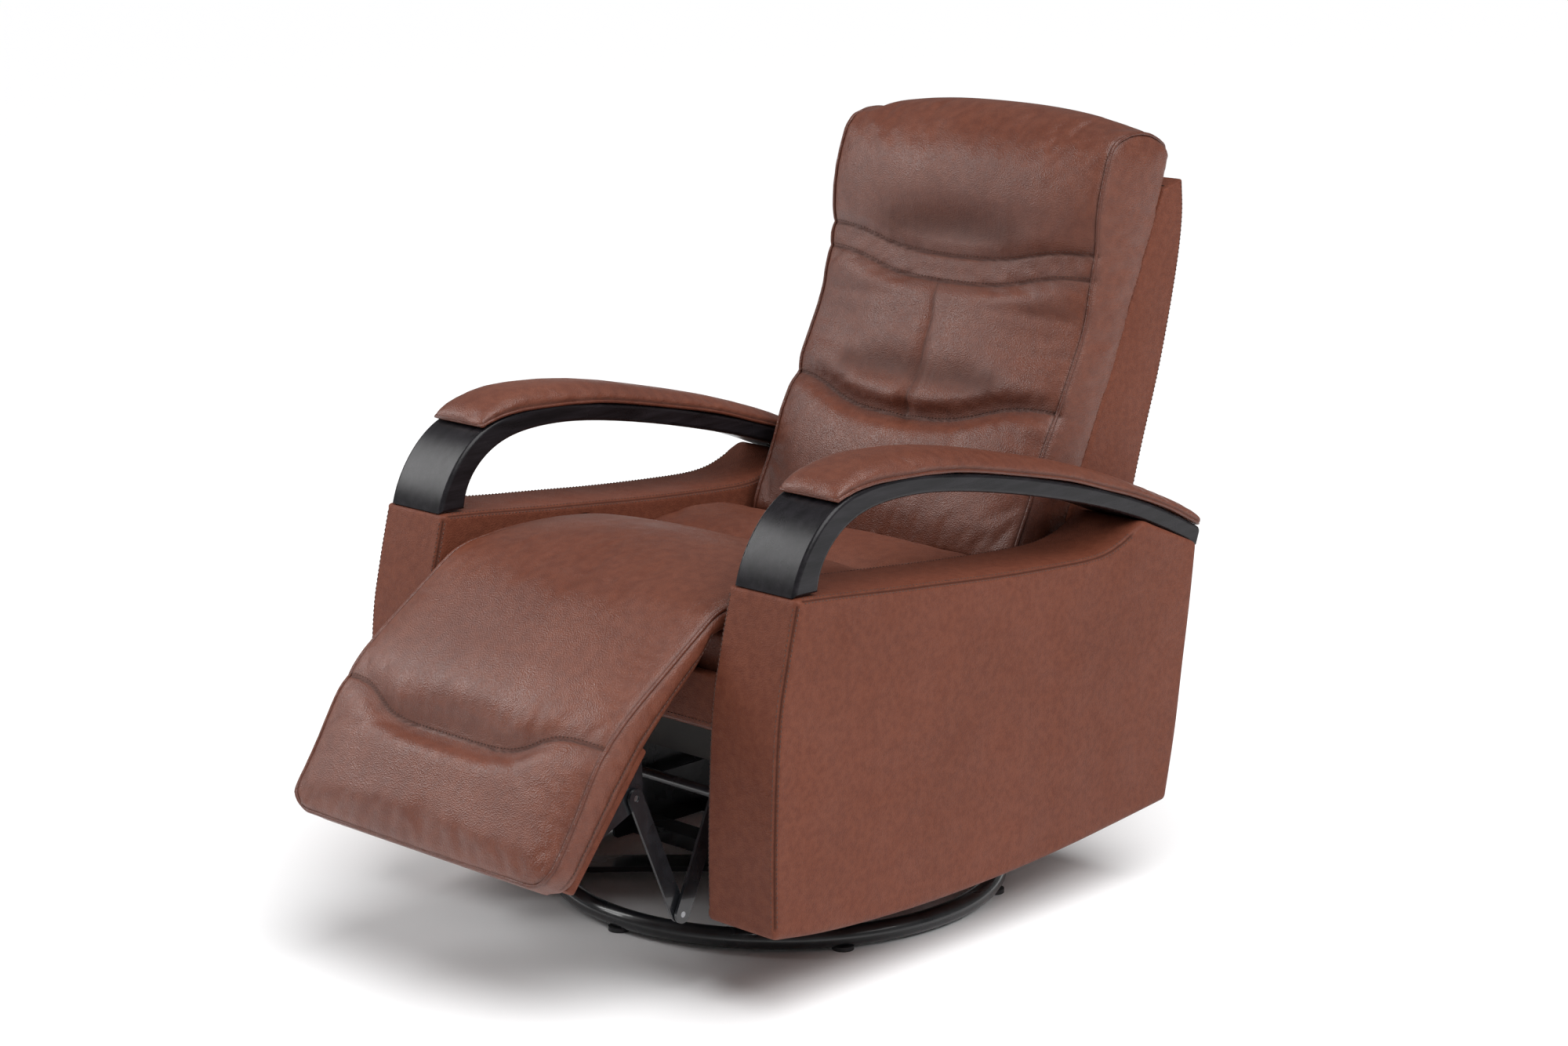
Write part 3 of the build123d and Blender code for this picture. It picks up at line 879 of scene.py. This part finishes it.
press_along(back_cushion, upright, upright_out, 0.0028, 0.0018, dark=0.6)
back_rows = [sew(back_cushion, line, outward) for line, outward in back_seams]
back_skin = Skin(back_cushion)
print("seams on the back:", len(back_rows) + 1)

# %% Lay the piping and the stitches of the back
def back_edge_line(side):
    """The piped edge of one side, from the seat, over the top, to the rear."""
    spots, outward = [], []
    for share in np.linspace(0.015, 0.995, 160):
        spot, out = back_front.at(share)
        spots.append((side * back_half_width(share), *spot))
        outward.append((0.75 * side, *out))
    return np.array(spots), np.array(outward)


for side, word in SIDES:
    line, outward = back_edge_line(side)
    hits, ups = back_skin.press(line, outward, NEAR)
    tube = lay_tube(f"back_piping_{word}", hits + ups * 0.0006, PIPING_RADIUS)
    finish_piece(tube, "back", piping_leather)
    press_line(back_cushion, hits, 0.0050, 0.0016, dark=0.5)
for number, (spots, ups) in enumerate(back_rows, 1):
    finish_piece(lay_stitches(f"back_stitches_{number}", spots, ups), "back", thread)
finish_piece(back_cushion, "back", leather, nodes=["back_cushion"])
print("back dressed")

# %% [markdown]
# ## The chaise pad
#
# One long pad runs from the seat over the knee and down the leg rest, so the leather never shows
# a gap when the leg rest opens. Its top panel is crowned between piped edges, the front corners
# are rounded, and one seam crosses the calf with a deep pressed dip in its middle.

# %% Draw the chaise pad and swell it
PAD_HALF = 0.249
PAD_CORNER = 0.034
pad_top = Outline([
    (-607, 204), (-602, 222), (-582, 249), (-558, 285), (-531, 330), (-507, 362), (-463, 400),
    (-398, 444), (-344, 480), (-308, 500), (-250, 509), (-180, 512), (-100, 507), (-30, 494),
    (25, 480),
])
pad_under = Outline([
    (-575, 183), (-563, 198), (-548, 217), (-532, 237), (-500, 276), (-469, 314), (-437, 353),
    (-385, 402), (-340, 440), (-318, 470), (-262, 475), (-180, 475), (-100, 475), (-30, 474),
    (25, 473),
])
pad_steps = np.concatenate([[0], np.cumsum(np.hypot(*np.diff(pad_top.points, axis=0).T))])
pad_shares = np.linspace(0, 1, len(pad_steps))


def pad_half_width(share):
    """Half the width, rounded at the two front corners."""
    run = np.interp(share, pad_shares, pad_steps)
    short = np.clip(PAD_CORNER - run, 0, PAD_CORNER)
    return PAD_HALF - PAD_CORNER + np.sqrt(np.maximum(PAD_CORNER ** 2 - short ** 2, 0))


def pad_rule(a, b, c):
    """a across, b from the underside to the top, c from the front edge to the rear."""
    share, depth = (c + 1) / 2, (1 - b) / 2
    spot, out = pad_top.at(share)
    far, _ = pad_under.at(share)
    crown = MM * np.interp(
        share, (0, 0.1, 0.3, 0.5, 0.65, 0.8, 0.93, 1), (4, 12, 15, 19, 22, 18, 10, 3))
    swollen = crown * (1 - abs(a) ** 2.4) * max(0, 1 - 2 * depth)
    side = spot + (far - spot) * depth + out * swollen
    half = float(pad_half_width(share)) + 0.004 * math.sin(math.pi * depth)
    return (a * half, *side)


CALF_KNOT = 5
CALF_RUN = float(np.interp(CALF_KNOT / pad_top.knots, pad_shares, pad_steps))
CALF_SAG = 0.040
CALF_DIP = (-0.05, 0.6, 0.075)


def pad_line(run_edge, run_middle, centre, reach, soft):
    """A line across the top panel at a distance from the front, another in the middle."""
    places = np.linspace(-1, 1, 91)
    runs = run_edge + (run_middle - run_edge) * dip(places, centre, reach, soft)
    spots, outward = [], []
    for place, run in zip(places, runs):
        share = float(np.interp(run, pad_steps, pad_shares))
        spot, out = pad_top.at(share)
        spots.append((place * (float(pad_half_width(share)) - 0.002), *spot))
        outward.append((0, *out))
    return np.array(spots), np.array(outward)


calf_line = pad_line(CALF_RUN, CALF_RUN - CALF_SAG, *CALF_DIP)


def pad_pins(points):
    """Hold the calf seam, the piped edges, the underside and the rear edge."""
    shares, gaps = pad_top.nearest(points[:, 1:])
    _, under_gaps = pad_under.nearest(points[:, 1:])
    half = pad_half_width(shares)
    across = points[:, 0] / half
    runs = np.interp(shares, pad_shares, pad_steps)
    hold = (under_gaps < 0.006) | ((half - np.abs(points[:, 0]) < 0.007) & (gaps < 0.010))
    hold |= (shares < 0.006) | (shares > 0.985)
    seam = CALF_RUN - CALF_SAG * dip(across, *CALF_DIP)
    hold |= (np.abs(runs - seam) < 0.005) & (gaps < 0.04)
    return hold.astype(float)


def pad_cap(points):
    """The top may swell further than the boxing."""
    _, gaps = pad_top.nearest(points[:, 1:])
    inner = PAD_HALF - np.abs(points[:, 0])
    return np.where((gaps < 0.03) & (inner > 0.006), 0.007, 0.003)


chaise_pad = shaped_block("chaise_pad_leather", 26, pad_rule)
swell(chaise_pad, 0.006, pad_pins, pad_cap, extra=0.008)
print("chaise pad:", len(chaise_pad.data.polygons), "faces")

# %% Press the calf seam, and sew and pipe the pad
across = np.linspace(-1, 1, len(calf_line[0]))
calf_fade = dip(across, -0.03, 0.62, 0.10)
# The calf seam's valley is darkened a little: painted shade.
press_along(chaise_pad, *calf_line, 0.018, 0.0015 + 0.0125 * calf_fade, dark=0.20)
line, outward = pad_line(CALF_RUN - 0.012, CALF_RUN - 0.020, -0.03, 0.6, 0.09)
inside = np.abs(across + 0.03) < 0.5
press_along(chaise_pad, line[inside], outward[inside], 0.026, arched(0.011, inside.sum(), 0.2))
pad_rows = [sew(chaise_pad, *calf_line, across=(0, 0.75, 0.66))]
pad_skin = Skin(chaise_pad)


def pad_edge_line():
    """The piped edge: down one side, round the front corners, and up the other side."""
    half_line, outward = [], []
    for share in np.concatenate([np.linspace(0.97, 0.12, 120), np.linspace(0.118, 0.0005, 50)]):
        spot, out = pad_top.at(share)
        half_line.append((float(pad_half_width(share)), *spot))
        outward.append((0.8, *out))
    mirror = [(-x, y, z) for x, y, z in half_line[::-1]]
    mirror_out = [(-x, y, z) for x, y, z in outward[::-1]]
    return np.array(half_line + mirror), np.array(outward + mirror_out)


def bend_at_knee(piece):
    """Let a piece follow the seat behind the knee and the leg rest in front of it."""
    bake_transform(piece, "chassis", "legrest", start=(0, -0.300, 0.500), end=(0, -0.430, 0.400))


hits, _ = pad_skin.press(*pad_edge_line(), NEAR)
piping = lay_tube("chaise_piping", resample(hits, PIPING_PITCH), PIPING_RADIUS)
press_line(chaise_pad, hits, 0.005, 0.0014, dark=0.5)
for side in (1, -1):
    spots, outward = [], []
    for share in np.linspace(0.05, 0.62, 120):
        top, _ = pad_top.at(share)
        under, _ = pad_under.at(share)
        spots.append((side * (PAD_HALF + 0.004), *(top + (under - top) * 0.72)))
        outward.append((side, 0, 0))
    hits, ups = Skin(chaise_pad).press(spots, outward, 0.04)
    press_line(chaise_pad, hits, 0.0026, 0.0016, dark=0.6)
    pad_rows.append((hits + np.array((0, 0.002, 0.003)), ups))
for number, (spots, ups) in enumerate(pad_rows, 1):
    row = lay_stitches(f"chaise_stitches_{number}", spots, ups)
    finish_piece(row, None, thread)
    bend_at_knee(row)
finish_piece(piping, None, piping_leather)
bend_at_knee(piping)
pad_blocks = ["chaise_pad_seat", "chaise_pad_leg"]
finish_piece(chaise_pad, None, leather, nodes=pad_blocks)
bend_at_knee(chaise_pad)
print("chaise pad dressed")

# %% [markdown]
# ## The seat cushion
#
# Behind the chaise pad the seat shows only for a hand's breadth, but the sitter's weight has left
# it a little hollow there. Under the chaise pad it is flat, because the pad lies on it.

# %% Draw the seat cushion and swell it
SEAT_HALF = 0.258
seat_profile = [
    (-298, 466), (-290, 471), (-220, 471), (-120, 471), (-20, 471), (20, 471), (50, 475),
    (90, 479), (140, 479), (190, 474), (222, 462),
]
seat_top = Outline(seat_profile)
seat_low = Outline([(y, 334) for y, _ in seat_profile])


def seat_rule(a, b, c):
    """a across, b from the underside to the top, c from the front to the rear."""
    share, depth = (c + 1) / 2, (1 - b) / 2
    spot, _ = seat_top.at(share)
    far, _ = seat_low.at(share)
    behind = min(max((spot[0] - 0.030) / 0.060, 0), 1)
    side = spot + (far - spot) * depth
    rise = 0.006 * behind * (1 - abs(a) ** 3) * max(0, 1 - 2 * depth)
    return (a * (SEAT_HALF - 0.004 * depth), side[0], side[1] + rise)


seat_cushion = shaped_block("seat_cushion_leather", 20, seat_rule)
swell(
    seat_cushion, 0.008,
    lambda points: ((points[:, 1] < 0.035) | (points[:, 2] < 0.40)).astype(float),
    lambda points: np.where(points[:, 1] > 0.035, 0.006, 0.0015),
)
finish_piece(seat_cushion, "chassis", leather, nodes=["seat_cushion"])
print("seat cushion:", len(seat_cushion.data.polygons), "faces")

# %% [markdown]
# ## The arm bodies
#
# Each arm is a slab of thin foam over board. Its outline has four sides, so the slab is a block
# whose points are spread evenly between the four outline curves. The leather pulls tight over
# flat foam, so it needs no swelling by simulation: a slight pillow and round edges are enough.
# A seam with two rows of stitches runs up the front corner and along the top.

# %% Draw the two arms
ARM_INNER, ARM_OUTER = 0.270, 0.390
arm_top = Outline([
    (-314, 540), (-256, 535), (-198, 529), (-124, 521), (-49, 514), (62, 503), (173, 495),
    (273, 490), (324, 499), (362, 515), (380, 520), (400, 512), (450, 491), (497, 471),
])
arm_low = Outline([
    (-356, 110), (-270, 97), (-180, 89), (-80, 84), (20, 83), (130, 85), (240, 91), (340, 99),
    (441, 108),
])
arm_front = Outline([(-356, 110), (-356, 240), (-349, 380), (-334, 460), (-314, 540)])
arm_rear = Outline([(441, 108), (461, 205), (474, 296), (487, 385), (497, 471)])


def arm_spot(along, up):
    """A point of the arm's side, spread evenly between its four outline curves."""
    low, top = arm_low.at(along)[0], arm_top.at(along)[0]
    front, rear = arm_front.at(up)[0], arm_rear.at(up)[0]
    corners = (
        (1 - along) * (1 - up) * arm_front.points[0] + along * (1 - up) * arm_rear.points[0]
        + (1 - along) * up * arm_front.points[-1] + along * up * arm_rear.points[-1])
    return (1 - up) * low + up * top + (1 - along) * front + along * rear - corners


def make_arm(side, word):
    """One arm body. side is 1 for the sitter's left and -1 for the right."""
    thick = (ARM_OUTER - ARM_INNER) / 2

    def rule(a, b, c):
        a, b, c = rounded((a, b, c), (thick, 0.405, 0.210), 0.008)
        y, z = arm_spot((b + 1) / 2, (c + 1) / 2)
        pillow = 0.003 * (1 - b ** 4) * (1 - c ** 4)
        return (side * (ARM_INNER + thick * (a + 1) + a * pillow), y, z)

    arm = shaped_block(f"arm_leather_{word}", 48, rule)
    apply_modifier(arm, "SUBSURF", levels=1, render_levels=1)
    return arm


arm_leathers = {word: make_arm(side, word) for side, word in SIDES}
print("arm body:", len(arm_leathers["left"].data.polygons), "faces")


# %% Sew the arms
def arm_seam_paths(side):
    """The seam up the front corner and along the top's outer and inner edges."""
    paths = []
    for edge, out in ((ARM_OUTER, 1), (ARM_INNER, -1)):
        front, outward = [], []
        for share in np.linspace(0.03, 0.97, 90):
            spot, _ = arm_front.at(share)
            front.append((side * edge, *spot))
            outward.append((side * out * 0.9, -1, 0.05))
        top, top_out = [], []
        for share in np.linspace(0.015, 0.66, 120):
            spot, normal = arm_top.at(share)
            top.append((side * edge, *spot))
            top_out.append((side * out * 0.9, *normal))
        inward = np.array((side * out * -1.0, 0, 0))
        paths.append((np.array(front), np.array(outward), inward))
        paths.append((np.array(top), np.array(top_out), inward))
    return paths


BOARD_STITCH_GAP = 0.006
for side, word in SIDES:
    arm = arm_leathers[word]
    count = 0
    for line, outward, inward in arm_seam_paths(side):
        press_along(arm, line, outward, 0.0030, 0.0018, dark=0.85, reach=NEAR)
        skin = Skin(arm)
        away = np.array([(-inward[0] * 0.2, 0, 0)]) + outward * (0, 1, 1)
        around = -away / np.linalg.norm(away, axis=1)[:, None]
        for beside in (inward, around):
            spots, ups = skin.press(line + beside * BOARD_STITCH_GAP, outward, NEAR)
            count += 1
            row = lay_stitches(f"arm_stitches_{word}_{count}", spots, ups)
            finish_piece(row, "chassis", thread)
    print(word, "arm: rows of stitches:", count)

# %% Cut the cup for the release lever and finish the arms
bezel_low, bezel_high = (np.array(corner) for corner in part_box("release_bezel"))
bpy.ops.object.select_all(action="DESELECT")
bpy.ops.mesh.primitive_cube_add(size=1, location=tuple((bezel_low + bezel_high) / 2))
cup_cutter = bpy.context.object
cup_cutter.scale = tuple(bezel_high - bezel_low + (0.012, -0.001, -0.001))
bpy.ops.object.transform_apply(location=True, rotation=True, scale=True)
apply_modifier(
    arm_leathers["right"], "BOOLEAN", object=cup_cutter, operation="DIFFERENCE", solver="EXACT")
bpy.data.objects.remove(cup_cutter)
for word, arm in arm_leathers.items():
    finish_piece(arm, "chassis", panel_leather, nodes=[f"arm_cover_{word}"])
print("arms dressed")

# %% [markdown]
# ## The arm pads
#
# On each bentwood arm lies a slim pad of leather over foam, widest in height above the wrist and
# thin at both ends. Its lower edge is hemmed round a cord that rests on the wood.

# %% Draw the arm pads, swell them and hem them
ARM_MIDDLE = (ARM_INNER + ARM_OUTER) / 2
ARM_PAD_HALF = 0.0525
HEM_RADIUS = 0.0024
arm_pad_top = Outline([
    (-238, 652), (-230, 661), (-212, 672), (-176, 682), (-140, 685), (-60, 681), (27, 668),
    (130, 645), (230, 620), (310, 595), (374, 572), (450, 541), (500, 518), (522, 505),
])
arm_pad_low = Outline([
    (-234, 645), (-226, 649), (-212, 653), (-182, 658), (-140, 659), (-50, 654), (20, 645),
    (130, 622), (224, 600), (300, 576), (362, 556), (436, 528), (490, 502), (516, 489),
])


def make_arm_pad(side, word):
    """One arm pad: crowned across, thin at its ends."""
    def rule(a, b, c):
        share, depth = (c + 1) / 2, (1 - b) / 2
        spot, out = arm_pad_top.at(share)
        far, _ = arm_pad_low.at(share)
        deep = float(np.hypot(*(spot - far)))
        spot = spot - out * (min(0.012, 0.4 * deep) * abs(a) ** 3.0)
        return (side * (ARM_MIDDLE + a * ARM_PAD_HALF), *(spot + (far - spot) * depth))

    def pins(points):
        _, gaps = arm_pad_low.nearest(points[:, 1:])
        return (gaps < 0.006).astype(float)

    pad = shaped_block(f"arm_pad_leather_{word}", 20, rule)
    swell(pad, 0.0055, pins, lambda points: np.full(len(points), 0.003), extra=0.01)
    hem, outward = [], []
    for edge in (1, -1):
        for share in np.linspace(0.01, 0.99, 110)[::edge]:
            spot, out = arm_pad_low.at(share)
            across = side * (ARM_MIDDLE + edge * (ARM_PAD_HALF - 0.001))
            hem.append((across, *(spot + out * 0.0025)))
            outward.append((side * edge, 0, 0))
    hits, ups = Skin(pad).press(hem, outward, 0.02)
    cord = lay_tube(f"arm_pad_hem_{word}", hits, HEM_RADIUS, closed=True)
    press_line(pad, hits + ups * 0.001 + np.array((0, 0, 0.004)), 0.003, 0.0012, dark=0.6)
    finish_piece(cord, "chassis", piping_leather)
    finish_piece(pad, "chassis", leather, nodes=[f"arm_pad_{word}"])


for side, word in SIDES:
    make_arm_pad(side, word)
print("arm pads dressed")

# %% [markdown]
# ## The back shell and the leather panels
#
# Behind the cushion a thin padded shell closes the back. It is leather pulled over board, so its
# edges are straight and its faces barely swell. The little panels below the seat, behind it and
# under the leg rest are wrapped boards of the same kind.

# %% Draw the shell
SHELL_HALF = 0.2585
shell_front = Outline([
    (360, 346), (350, 458), (404, 580), (463, 706), (522, 832), (549, 895), (573, 946)])
shell_rear = Outline([
    (470, 346), (501, 445), (541, 580), (579, 695), (610, 822), (621, 900), (618, 957)])


def shell_rule(a, b, c):
    """a across, b from the front face to the rear face, c up the back."""
    a, b, c = rounded((a, b, c), (SHELL_HALF, 0.045, 0.310), 0.007)
    share, depth = (c + 1) / 2, (b + 1) / 2
    spot, _ = shell_front.at(share)
    far, out = shell_rear.at(share)
    spread = spot + (far - spot) * depth
    puff = 0.003 * (1 - a ** 4) * (1 - c ** 4) * depth
    pillow = 0.002 * math.sin(math.pi * depth) * (1 - c ** 4)
    return (a * (SHELL_HALF + pillow), *(spread - out * puff))


back_shell = shaped_block("back_shell_leather", 44, shell_rule)
apply_modifier(back_shell, "SUBSURF", levels=1, render_levels=1)
shell_rows = 0
for side in (1, -1):
    seam, outward = [], []
    for share in np.linspace(0.04, 0.985, 150):
        spot, out = shell_rear.at(share)
        seam.append((side * SHELL_HALF, *spot))
        outward.append((side * 0.9, *-out))
    press_along(back_shell, seam, outward, 0.0030, 0.0018, dark=0.6, reach=NEAR)
    skin = Skin(back_shell)
    for shift in ((-side * BOARD_STITCH_GAP, 0, 0), (side * 0.001, -BOARD_STITCH_GAP, 0.002)):
        spots, ups = skin.press(np.array(seam) + np.array(shift), outward, NEAR)
        shell_rows += 1
        row = lay_stitches(f"shell_stitches_{shell_rows}", spots, ups)
        finish_piece(row, "back", thread)
finish_piece(back_shell, "back", panel_leather, nodes=["back_shell"])
print("back shell:", len(back_shell.data.polygons), "faces,", shell_rows, "rows of stitches")


# %% Wrap the small boards
def wrapped_board(name, body, front, rear, half, node, rows):
    """A leather-wrapped board between a front and a rear line of (y, z), with rows of stitches.

    Each row is (share of the way along the board, 0 for its front face or 1 for its rear face).
    """
    near, far = Outline(front), Outline(rear)
    thick = np.linalg.norm(near.points[0] - far.points[0]) / 2
    tall = np.linalg.norm(near.points[0] - near.points[-1]) / 2

    def rule(a, b, c):
        a, b, c = rounded((a, b, c), (half, thick, tall), min(0.005, 0.6 * thick))
        share, depth = (c + 1) / 2, (b + 1) / 2
        spot, goal = near.at(share)[0], far.at(share)[0]
        puff = 0.0015 * (1 - a ** 8) * (1 - c ** 2) * b
        across = (goal - spot) / np.linalg.norm(goal - spot)
        return (a * half, *(spot + (goal - spot) * depth + across * puff))

    board = shaped_block(name, 24, rule)
    apply_modifier(board, "SUBSURF", levels=1, render_levels=1)
    for number, (share, depth) in enumerate(rows, 1):
        spot, goal = near.at(share)[0], far.at(share)[0]
        place = spot + (goal - spot) * depth
        away = (spot - goal) if depth < 0.5 else (goal - spot)
        line = [(x, *place) for x in np.linspace(-half + 0.006, half - 0.006, 90)]
        hits, ups = Skin(board).press(line, [(0, *away)] * len(line), NEAR)
        row = lay_stitches(f"{name}_stitches_{number}", hits, ups)
        finish_piece(row, body, thread)
    finish_piece(board, body, panel_leather, nodes=[node])


KNEE_LINE = (-343, 470)
LEG_DROP = math.radians(51)


def leg_spot(along, behind):
    """A point of the leg rest, (y, z) in millimetres: how far along it, and how far behind."""
    return (
        KNEE_LINE[0] - along * math.cos(LEG_DROP) + behind * math.sin(LEG_DROP),
        KNEE_LINE[1] - along * math.sin(LEG_DROP) - behind * math.cos(LEG_DROP))


wrapped_board(
    "rear_panel_leather", "chassis",
    [(426, 109), (432, 172), (438, 234)], [(440, 109), (446, 172), (451, 234)],
    0.267, "rear_panel", [(0.08, 1), (0.92, 1)])
wrapped_board(
    "seat_front_leather", "chassis",
    [(-316, z) for z in (346, 382, 418)], [(-301, z) for z in (346, 382, 418)],
    0.248, "seat_front_panel", [(0.10, 0)])
wrapped_board(
    "legrest_board_leather", "legrest",
    [leg_spot(v, 0.5) for v in (356, 254, 152)], [leg_spot(v, 17.5) for v in (356, 254, 152)],
    0.2395, "legrest_board", [(0.05, 1), (0.95, 1)])
print("boards wrapped")
